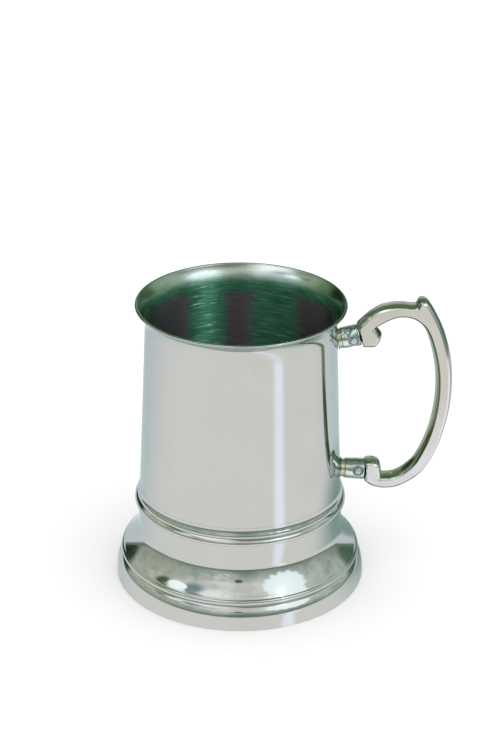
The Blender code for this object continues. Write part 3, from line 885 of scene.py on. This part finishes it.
def cast_metal():
    """The handle: a hand-polished casting with pores and haze, with painted highlights on its bevels.

    Painted dark reflections lie on the bevels that face the cup and the floor, and casting dross beside the
    sockets; the faces that look in and out carry painted reflections, and the scroll's recess is darker.
    """
    made, nodes, shader, coordinates = new_metal("handle_cast_metal")
    x, y, z = nodes.split(coordinates)
    facing = nodes.split(nodes.add("ShaderNodeTexCoord").outputs["Normal"])
    haze = nodes.noise(coordinates, 60.0, 4.0, 0.6)
    grain = nodes.noise(coordinates, 900.0, 3.0, 0.6)
    pores = nodes.rising(nodes.noise(coordinates, 1500.0, 1.0, 0.4), 0.70, 0.78)
    dross = nodes.noise(coordinates, 420.0, 3.0, 0.6)
    off_flat = nodes.falling(nodes.size(facing[1]), 0.6, 0.9)
    # painted reflections and highlights, set by which way each face looks
    tint = cast_tint(nodes, haze, facing, *bevel_zones(nodes, x, y, facing))

    dross_area = 0.0
    for centre, reach in DROSS_PLACES:
        dross_area = nodes.larger(dross_area, near_point(nodes, x, z, centre, reach))
    dross_area = nodes.times(dross_area, off_flat)
    tint = nodes.blend(nodes.times(dross_area, 0.8), tint, nodes.ramp(dross, DROSS_COLOURS))
    # darker near the scroll's recess
    recess = nodes.times(near_point(nodes, x, z, *SCROLL_RECESS), off_flat)
    tint = nodes.blend(nodes.times(recess, 0.8), tint, SCROLL_RECESS_DARKENING)

    roughness = nodes.spread(haze, 0.3, 0.75, 0.10, 0.19)
    roughness = nodes.plus(roughness, nodes.rising(grain, 0.45, 0.75, 0.06))
    roughness = nodes.plus(roughness, nodes.times(dross_area, 0.12))
    height = nodes.plus(nodes.noise(coordinates, 90.0, 2.0, 0.5), nodes.times(grain, 0.03))
    height = nodes.minus(height, nodes.times(pores, 0.05))
    height = nodes.plus(height, nodes.times(nodes.times(dross, dross_area), 1.2))
    finish_metal(nodes, shader, tint, roughness, height, 0.12, 0.0008)
    return made


# Metals: the sockets

def sleeve_steel(name, socket):
    """Bright bluish steel with scuffs and scratches along the tube, and a painted shade ring round the
    rivet's head.
    """
    made, nodes, shader, coordinates = new_metal(name)
    x, y, z = nodes.split(coordinates)
    drawn_out = nodes.vector(nodes.times(x, 900.0), nodes.times(y, 900.0), nodes.times(z, 160.0))
    scratches = nodes.noise(drawn_out, 1.0, 3.0, 0.6)
    scuffs = nodes.noise(coordinates, 420.0, 3.0, 0.6)
    tint = two_tones(nodes, scuffs, 0.4, 0.68, (0.72, 0.77, 0.77), (0.56, 0.62, 0.61))
    turn = socket["rivet_turn"]
    sideways = nodes.plus(nodes.times(x, math.cos(turn)), nodes.times(y, math.sin(turn)))
    from_rivet = nodes.length(sideways, nodes.plus(z, socket["rivet_at"] * MM))
    head, spot = RIVET_HEAD_RADIUS * MM, SPOT_FACE_RADIUS * MM
    # painted shade: a dark ring on the spot face round the rivet's head
    painted_shade_ring = nodes.band(from_rivet, 0.9 * head, 1.1 * head, 0.9 * spot, 1.1 * spot)
    tint = nodes.blend(nodes.times(painted_shade_ring, 0.75), tint, (0.10, 0.20, 0.19))
    roughness = nodes.spread(scuffs, 0.35, 0.7, 0.08, 0.20)
    roughness = nodes.plus(roughness, nodes.rising(scratches, 0.5, 0.7, 0.08))
    height = nodes.plus(scuffs, nodes.times(scratches, 0.12))
    finish_metal(nodes, shader, tint, roughness, height, 0.25, 0.0004)
    return made


def stud_steel(name, socket):
    """Steel with a painted dark blue-green reflection at the wall, turning to a pale straw braze at the
    sleeve.
    """
    made, nodes, shader, coordinates = new_metal(name)
    _, _, z = nodes.split(coordinates)
    mottled = nodes.noise(coordinates, 600.0, 3.0, 0.6)
    patchy = nodes.noise(coordinates, 260.0, 2.0, 0.5)
    wobble = nodes.times(nodes.minus(mottled, 0.5), 0.0006)
    wall, start = -socket_reach(socket) * MM, -socket["length"] * MM
    # painted reflection: dark blue-green at the wall; then the straw braze, darker again where it meets the
    # sleeve
    painted_reflection_and_braze = nodes.ramp(nodes.spread(nodes.plus(z, wobble), wall, start, 0.0, 1.0, smooth=False), [
        (0.0, (0.20, 0.38, 0.34)),
        (0.10, (0.40, 0.50, 0.40)),
        (0.24, (0.70, 0.65, 0.46)),
        (0.65, (0.90, 0.82, 0.60)),
        (0.88, (0.74, 0.68, 0.50)),
        (1.0, (0.34, 0.33, 0.26)),
    ])
    tint = nodes.blend(nodes.rising(patchy, 0.52, 0.66, 0.7), painted_reflection_and_braze, (0.36, 0.24, 0.12))
    finish_metal(nodes, shader, tint, nodes.spread(mottled, 0.35, 0.7, 0.16, 0.32), mottled, 0.2, 0.0003)
    return made


def blotched_metal(name, texture, tones, roughness, relief):
    """Metal blotched in two tones, with its roughness and its bumps from the same blotches."""
    made, nodes, shader, coordinates = new_metal(name)
    blotches = nodes.noise(coordinates, *texture)
    tint = two_tones(nodes, blotches, 0.4, 0.65, *tones)
    finish_metal(nodes, shader, tint, nodes.spread(blotches, 0.35, 0.7, *roughness), blotches, *relief)
    return made


def scorched_metal():
    """Dark oxide left in a seam, blotched blue and brown."""
    tones = ((0.03, 0.05, 0.045), (0.07, 0.06, 0.04))
    return blotched_metal("scorched_seam_metal", (700.0, 3.0, 0.6), tones, (0.45, 0.7), (0.3, 0.0002))


def rivet_steel():
    """Bright struck metal with a hammered top."""
    tones = ((0.62, 0.68, 0.70), (0.48, 0.55, 0.57))
    return blotched_metal("rivet_struck_steel", (900.0, 2.0, 0.5), tones, (0.14, 0.28), (0.35, 0.0003))


# The pieces

def make_turned_pieces():
    place = Matrix.Translation(AXIS)
    wall, foot = subdivided(cup_wall_profile(), 4.0), subdivided(foot_shell_profile(), 3.0)
    floor_steel = satin_steel("floor_turned_steel", (0.50, 0.52, 0.50), 900.0)
    plate_steel = satin_steel("plate_satin_steel", (0.52, 0.53, 0.52), 1200.0)
    pieces = (
        ("cup_wall", wall, cup_steel(), "cup_steel"),
        ("cup_floor", cup_floor_profile(), floor_steel, "floor_steel"),
        ("waist_ring", waist_ring_profile(), polished_steel("ring_polished_steel"), "ring_steel"),
        ("foot_shell", foot, polished_steel("foot_polished_steel"), "foot_steel"),
        ("base_plate", base_plate_profile(), plate_steel, "plate_steel"),
    )
    for node, profile, surface, slot in pieces:
        finish_piece(node + "_fine", turned(profile), place, surface, [node])


def make_handle_pieces():
    place = Matrix.Translation(AXIS)
    finish_piece("handle_casting", handle_bmesh(), place, cast_metal(), ["handle"], 50.0)
    rivet, scorched = rivet_steel(), scorched_metal()
    for name, socket in SOCKETS.items():
        make_tang(name, socket, scorched)
        make_sleeve(name, socket, sleeve_steel(name + "_sleeve_bright_steel", socket))
        make_stud(name, socket, stud_steel(name + "_stud_tinted_steel", socket))
        make_rivet(name, socket, rivet)


# The studio. Places on the floor are metres from the cup's axis

FLOOR_WARM = (0.955, 0.96, 0.925)
FLOOR_COOL = (0.85, 0.90, 0.94)
FLOOR_STREAKS = (1.1, 1.1, 1.1)
FLOOR_GLARE = (1.20, 1.25, 1.42)
FLOOR_SHADOW = (0.38, 0.50, 0.47)
FLOOR_EDGE = (0.20, 0.27, 0.22)
GLARE_BEARING = 44.8
SHADOW_PLACE = (0.068, 0.045)
TABLE_EDGE = (0.36, 0.50)


def bare_material(name):
    """A material with an empty node tree and its output."""
    made = bpy.data.materials.new(name)
    made.use_nodes = True
    made.node_tree.nodes.clear()
    nodes = Nodes(made.node_tree)
    return made, nodes, nodes.add("ShaderNodeOutputMaterial").inputs["Surface"]


def floor_light(nodes, x, y):
    """A light table with streaks, a glare line, a soft shadow behind the handle and a dark surround."""
    distance = nodes.length(x, y)
    bearing = nodes.bearing(x, y)
    light = nodes.blend(nodes.rising(y, -0.08, 0.12), FLOOR_WARM, FLOOR_COOL)
    streaks = nodes.noise(nodes.vector(bearing, 0.0, 0.0), 0.16, 3.0, 0.6)
    light = nodes.blend(nodes.rising(streaks, 0.35, 0.7, 0.10), light, FLOOR_STREAKS)
    bend = nodes.spread(distance, 0.075, 0.095, 1.145, 0.90)
    off_glare = nodes.size(nodes.minus(nodes.plus(bearing, nodes.over(bend, distance)), GLARE_BEARING))
    half_width = nodes.spread(distance, 0.070, 0.100, 3.4, 5.5)
    light = nodes.blend(nodes.falling(nodes.over(off_glare, half_width), 0.35, 1.5), light, FLOOR_GLARE)
    from_shadow = nodes.length(nodes.minus(x, SHADOW_PLACE[0]), nodes.minus(y, SHADOW_PLACE[1]))
    light = nodes.blend(nodes.falling(from_shadow, 0.020, 0.085), light, FLOOR_SHADOW)
    return nodes.blend(nodes.rising(distance, *TABLE_EDGE), light, FLOOR_EDGE)


def make_floor():
    """A plain pale floor, which only reflections see as a light table."""
    bm = bmesh.new()
    bmesh.ops.create_circle(bm, cap_ends=True, radius=30.0, segments=64)
    floor = linked_object("studio_floor", mesh_from(bm, "studio_floor"))
    floor.location = AXIS
    made, nodes, surface = bare_material("studio_floor_white")
    x, y, _ = nodes.split(nodes.add("ShaderNodeTexCoord").outputs["Object"])
    glow = nodes.add("ShaderNodeEmission")
    nodes.put(glow.inputs["Color"], floor_light(nodes, x, y))
    white = nodes.add("ShaderNodeBsdfDiffuse")
    white.inputs["Color"].default_value = (0.93, 0.93, 0.93, 1.0)
    mixed = nodes.add("ShaderNodeMixShader")
    nodes.put(mixed.inputs[0], nodes.add("ShaderNodeLightPath").outputs["Is Glossy Ray"])
    nodes.put(mixed.inputs[1], white.outputs[0])
    nodes.put(mixed.inputs[2], glow.outputs[0])
    nodes.put(surface, mixed.outputs[0])
    floor.data.materials.append(made)


# The room that reflections see. Each side is a ramp of colours by degrees above the horizon

ROOM_LOW, ROOM_HIGH = -10.0, 90.0
CEILING = (0.08, 0.16, 0.11)
ROOM_FRONT = [
    (-10, (0.24, 0.31, 0.26)),
    (6, (0.26, 0.34, 0.28)),
    (12, (0.42, 0.53, 0.46)),
    (24, (0.54, 0.64, 0.58)),
    (34, (0.97, 0.99, 0.97)),
    (48, (0.86, 0.88, 0.85)),
    (60, (0.28, 0.34, 0.27)),
    (90, CEILING),
]
ROOM_RIGHT = [
    (-10, (0.34, 0.42, 0.40)),
    (4, (0.36, 0.45, 0.42)),
    (14, (0.60, 0.70, 0.66)),
    (28, (0.70, 0.80, 0.76)),
    (40, (0.62, 0.72, 0.66)),
    (50, (0.32, 0.43, 0.33)),
    (60, (0.18, 0.30, 0.18)),
    (90, CEILING),
]
ROOM_LEFT = [
    (-10, (0.30, 0.36, 0.30)),
    (4, (0.44, 0.50, 0.42)),
    (14, (0.58, 0.64, 0.53)),
    (24, (0.68, 0.74, 0.63)),
    (36, (0.66, 0.72, 0.60)),
    (46, (0.18, 0.28, 0.16)),
    (60, (0.10, 0.18, 0.09)),
    (90, CEILING),
]
ROOM_BACK = [
    (-10, (0.55, 0.62, 0.62)),
    (-2, (0.40, 0.48, 0.44)),
    (7, (0.10, 0.17, 0.10)),
    (26, (0.16, 0.26, 0.13)),
    (50, (0.08, 0.16, 0.09)),
    (90, CEILING),
]
BACKDROP = (0.80, 0.82, 0.74)

# Ovals in the room: (bearing, elevation), half size, softness, strength and colour
STAND = ((-136.0, 8.0), (13.0, 17.0), 0.35, 1.0, (0.015, 0.02, 0.015))
DARK_CORNER = ((130.0, 8.0), (12.0, 13.0), 0.35, 0.85, (0.07, 0.16, 0.09))
LAMP_ARM = ((-85.0, 31.0), (8.0, 3.5), 0.5, 1.0, (0.08, 0.14, 0.07))
PHOTOGRAPHER = ((3.0, 12.0), (13.0, 17.0), 0.6, 0.5, (0.10, 0.16, 0.12))
WINDOW = ((-42.0, 56.0), (38.0, 14.0), 0.35, 1.0, (1.30, 1.34, 1.35))
TEAL_GAP = ((-53.0, 40.5), (13.0, 6.0), 0.6, 0.8, (0.07, 0.22, 0.22))
LENS = ((-1.0, 30.5), (4.6, 2.2), 0.3, 1.0, (0.01, 0.02, 0.015))

RAY_CENTRE = (-4.0, 31.0)
RAY_COLOUR = (1.0, 1.02, 1.02)
CLUTTER = (0.24, 0.34, 0.24)
PATCHES = (0.10, 0.14, 0.09)
PLAIN_BACKGROUND = (1.15, 1.15, 1.15)


def blob(nodes, bearing, elevation, centre, half_size, softness):
    """1 inside an oval of the sky, in degrees, falling to 0 across its soft edge."""
    across = nodes.over(nodes.minus(bearing, centre[0]), half_size[0])
    up = nodes.over(nodes.minus(elevation, centre[1]), half_size[1])
    return nodes.falling(nodes.length(across, up), 1.0 - softness, 1.0 + softness)


def room_sides(nodes, bearing, elevation):
    """The room's four sides, run into each other, and the pale backdrop behind the tankard."""
    height = nodes.spread(elevation, ROOM_LOW, ROOM_HIGH, 0.0, 1.0, smooth=False)
    ramps = []
    for stops in (ROOM_FRONT, ROOM_RIGHT, ROOM_LEFT, ROOM_BACK):
        placed = [((degrees - ROOM_LOW) / (ROOM_HIGH - ROOM_LOW), colour) for degrees, colour in stops]
        ramps.append(nodes.ramp(height, placed))
    front, right, left, back = ramps
    off_front = nodes.size(bearing)
    sides = nodes.blend(nodes.rising(bearing, -20.0, 20.0), left, right)
    room = nodes.blend(nodes.rising(off_front, 55.0, 85.0), front, sides)
    room = nodes.blend(nodes.rising(off_front, 115.0, 145.0), room, back)
    backdrop = blob(nodes, off_front, elevation, (180.0, 0.0), (24.0, 25.0), 0.14)
    return nodes.blend(backdrop, room, BACKDROP)


def umbrella_rays(nodes, bearing, elevation):
    """Streaks that run out from beside the lens."""
    from_centre = (nodes.minus(elevation, RAY_CENTRE[1]), nodes.minus(bearing, RAY_CENTRE[0]))
    streaks = nodes.noise(nodes.vector(nodes.maths("ARCTAN2", *from_centre), 0.0, 0.0), 6.0, 2.0, 0.6)
    area = blob(nodes, bearing, elevation, (-20.0, 38.0), (32.0, 22.0), 0.4)
    return nodes.times(area, nodes.rising(streaks, 0.44, 0.58, 0.85))


def room_light(nodes, direction):
    """A dim green room, lighter above the camera, with the things in it that the metal mirrors."""
    x, y, z = nodes.split(direction)
    elevation = nodes.maths("DEGREES", nodes.maths("ARCSINE", z))
    bearing = nodes.bearing(x, y)

    def with_things(room, things):
        for centre, half_size, softness, strength, colour in things:
            share = nodes.times(blob(nodes, bearing, elevation, centre, half_size, softness), strength)
            room = nodes.blend(share, room, colour)
        return room

    room = room_sides(nodes, bearing, elevation)
    room = with_things(room, (STAND, DARK_CORNER, LAMP_ARM, PHOTOGRAPHER, WINDOW))
    room = nodes.blend(umbrella_rays(nodes, bearing, elevation), room, RAY_COLOUR)
    room = with_things(room, (TEAL_GAP, LENS))
    clutter = nodes.rising(nodes.noise(direction, 7.0, 4.0, 0.6), 0.46, 0.66, 0.42)
    clutter = nodes.times(clutter, nodes.spread(elevation, 20.0, 46.0, 1.0, 0.25))
    room = nodes.blend(clutter, room, CLUTTER)
    patches = nodes.rising(nodes.noise(direction, 2.6, 2.0, 0.5), 0.48, 0.62, 0.16)
    return nodes.blend(patches, room, PATCHES)


def make_world():
    """Pale to the camera and to the floor. Only reflections see the room."""
    world = bpy.data.worlds.new("studio_room")
    bpy.context.scene.world = world
    world.use_nodes = True
    world.node_tree.nodes.clear()
    nodes = Nodes(world.node_tree)
    room = room_light(nodes, nodes.add("ShaderNodeTexCoord").outputs["Generated"])
    is_glossy = nodes.add("ShaderNodeLightPath").outputs["Is Glossy Ray"]
    background = nodes.add("ShaderNodeBackground")
    nodes.put(background.inputs["Color"], nodes.blend(is_glossy, PLAIN_BACKGROUND, room))
    nodes.put(nodes.add("ShaderNodeOutputWorld").inputs["Surface"], background.outputs[0])


# Glowing cards that only reflections see, on a sphere round a point above the table

CARD_CENTRE = Vector((0.0, 0.0, 0.06))
UMBRELLA_BLUE = (0.85, 0.95, 1.0)
FLASH_WHITE = (0.93, 0.97, 1.0)
LAMP_BLUE = (0.88, 0.97, 1.0)


def towards(bearing, elevation):
    """The direction at this many degrees right of the front and above the table."""
    bearing, elevation = math.radians(bearing), math.radians(elevation)
    flat = math.cos(elevation)
    return Vector((math.sin(bearing) * flat, -math.cos(bearing) * flat, math.sin(elevation)))


def make_card(name, outline, distance, strength, colour):
    """A card in the shape of an outline of (bearing, elevation) pairs."""
    middle = AXIS + CARD_CENTRE
    points = [towards(bearing, elevation) * distance for bearing, elevation in outline]
    bm = bmesh.new()
    centre = bm.verts.new(middle + sum(points, Vector()) / len(points))
    rim = [bm.verts.new(middle + point) for point in points]
    for here, following in zip(rim, rim[1:] + rim[:1]):
        bm.faces.new((centre, here, following))
    card = linked_object(name, mesh_from(bm, name))
    card.visible_camera = False
    card.visible_diffuse = False
    card.visible_shadow = False
    made, nodes, surface = bare_material(name + "_glow")
    glow = nodes.add("ShaderNodeEmission")
    glow.inputs["Color"].default_value = (*colour, 1.0)
    glow.inputs["Strength"].default_value = strength
    nodes.put(surface, glow.outputs[0])
    card.data.materials.append(made)


def star(centre, half_size, spikes, notch):
    """A spiky oval outline, with notches of uneven depth."""
    outline = []
    for i in range(2 * spikes):
        angle = math.pi * i / spikes
        reach = 1.0 if i % 2 else notch + 0.07 * math.sin(3.7 * i)
        across, up = half_size[0] * reach, half_size[1] * reach
        outline.append((centre[0] + across * math.cos(angle), centre[1] + up * math.sin(angle)))
    return outline


def oval(centre, half_size, tilt):
    """A tilted oval outline."""
    outline = []
    for i in range(24):
        angle = math.pi * i / 12
        across, up = half_size[0] * math.cos(angle), half_size[1] * math.sin(angle)
        outline.append((centre[0] + across, centre[1] + up + tilt * across))
    return outline


def make_cards():
    """A spiky umbrella with a hot middle on the right, and a lamp on the left."""
    umbrella = star((48.5, 33.0), (25.0, 17.0), 15, 0.84)
    heart = star((46.0, 36.0), (6.0, 7.0), 12, 0.95)
    lamp = oval((-67.0, 34.0), (10.5, 4.5), 0.22)
    make_card("umbrella_right", umbrella, 1.4, 1.5, UMBRELLA_BLUE)
    make_card("umbrella_heart", heart, 1.36, 16.0, FLASH_WHITE)
    make_card("lamp_left", lamp, 1.36, 1.6, LAMP_BLUE)


# The lamp and the camera

LAMP_PLACE = Vector((0.5, -0.6, 1.7))
CAMERA_PLACE = Vector((0.0, -0.729, 0.4335))  # from the cup's axis
CAMERA_YAW, CAMERA_PITCH, CAMERA_ROLL = 0.26, 25.32, 0.46
FOCAL_LENGTH = 96.19


def make_lamp():
    """One broad soft lamp above, for a faint soft shadow on the floor."""
    data = bpy.data.lights.new("overhead_softbox", "AREA")
    data.shape = "DISK"
    data.size = 1.6
    data.energy = 4.0
    lamp = linked_object("overhead_softbox", data)
    lamp.location = LAMP_PLACE
    lamp.rotation_euler = LAMP_PLACE.to_track_quat("Z", "Y").to_euler()
    lamp.visible_glossy = False


def make_camera():
    """A long lens, looking down on the tankard from in front of it, with the handle to the right."""
    yaw, pitch, roll = (math.radians(angle) for angle in (CAMERA_YAW, CAMERA_PITCH, CAMERA_ROLL))
    forward = Vector((math.sin(yaw) * math.cos(pitch), math.cos(yaw) * math.cos(pitch), -math.sin(pitch)))
    right = Vector((math.cos(yaw), -math.sin(yaw), 0.0))
    up = right.cross(forward)
    rolled_right = math.cos(roll) * right + math.sin(roll) * up
    rolled_up = -math.sin(roll) * right + math.cos(roll) * up
    data = bpy.data.cameras.new("camera")
    data.lens = FOCAL_LENGTH
    data.sensor_width = 36.0
    data.clip_start = 0.01
    data.clip_end = 100.0
    camera = linked_object("camera", data)
    turn = Matrix((rolled_right, rolled_up, -forward)).transposed().to_4x4()
    camera.matrix_world = Matrix.Translation(AXIS + CAMERA_PLACE) @ turn
    bpy.context.scene.camera = camera


make_camera()
make_turned_pieces()
make_handle_pieces()
make_floor()
make_world()
make_cards()
make_lamp()
bpy.context.scene.view_settings.view_transform = "Standard"
bpy.context.scene.cycles.use_denoising = True
bpy.context.scene.cycles.glossy_bounces = 10
bpy.context.scene.cycles.max_bounces = 14
